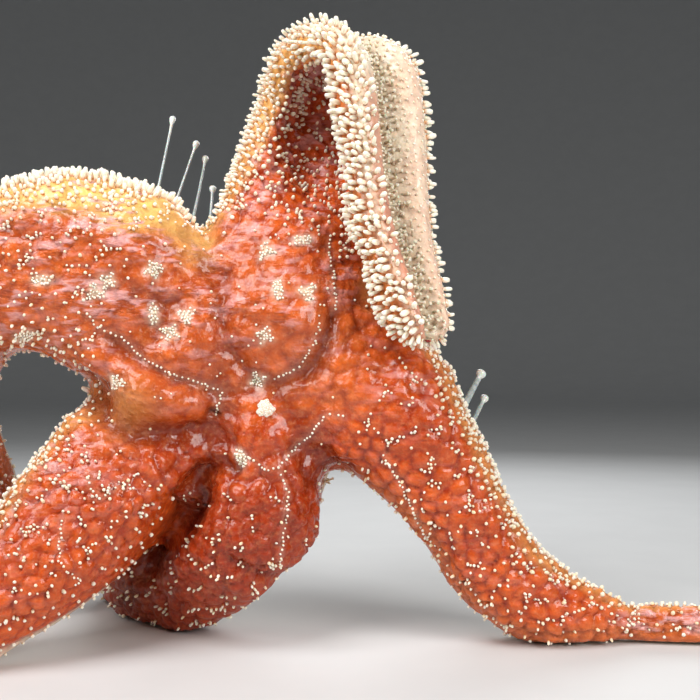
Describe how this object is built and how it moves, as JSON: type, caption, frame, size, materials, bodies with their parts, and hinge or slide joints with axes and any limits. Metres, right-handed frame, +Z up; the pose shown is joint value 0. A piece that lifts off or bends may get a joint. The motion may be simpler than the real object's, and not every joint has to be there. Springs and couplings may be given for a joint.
{
  "type": "ochre sea star",
  "caption": "Life-size ochre sea star standing upright on its lower arms, orange spiny back outwards, with the upper arm folded over and hanging.",
  "frame": {"origin": "centre of the bounding box's underside, on the floor the star stands on", "axes": "+Z up; +X along the floor towards the arm that reaches to the right; -Y the way the star's back faces, +Y the way its mouth faces"},
  "size_m": [0.2286, 0.0988, 0.1393],
  "materials": {
    "flesh": "wet orange skin",
    "deep_flesh": "wet red-orange skin",
    "mouth": "wet cream membrane",
    "sieve_plate": "matt pale lime",
    "eyespot": "wet dark red",
    "tube_foot": "wet translucent grey"
  },
  "bodies": {
    "root": {"disc": "flesh", "arm_upper_base": "deep_flesh", "arm_upper_fold": "flesh", "arm_upper_flap": "deep_flesh", "arm_upper_tip": "flesh", "arm_left_base": "deep_flesh", "arm_left_bend": "flesh", "arm_left_tip": "deep_flesh", "arm_lower_left_base": "deep_flesh", "arm_lower_left_middle": "flesh", "arm_lower_left_tip": "deep_flesh", "arm_lower_middle_base": "deep_flesh", "arm_lower_middle_curl": "flesh", "arm_lower_middle_tip": "deep_flesh", "arm_right_base": "deep_flesh", "arm_right_heel": "flesh", "arm_right_tip": "deep_flesh", "mouth": "mouth", "sieve_plate": "sieve_plate", "eyespot_upper": "eyespot", "eyespot_left": "eyespot", "eyespot_lower_left": "eyespot", "eyespot_lower_middle": "eyespot", "eyespot_right": "eyespot", "tube_foot_1": "tube_foot", "tube_foot_2": "tube_foot", "tube_foot_3": "tube_foot", "tube_foot_4": "tube_foot", "tube_foot_5": "tube_foot", "tube_foot_6": "tube_foot"}
  },
  "joints": []
}
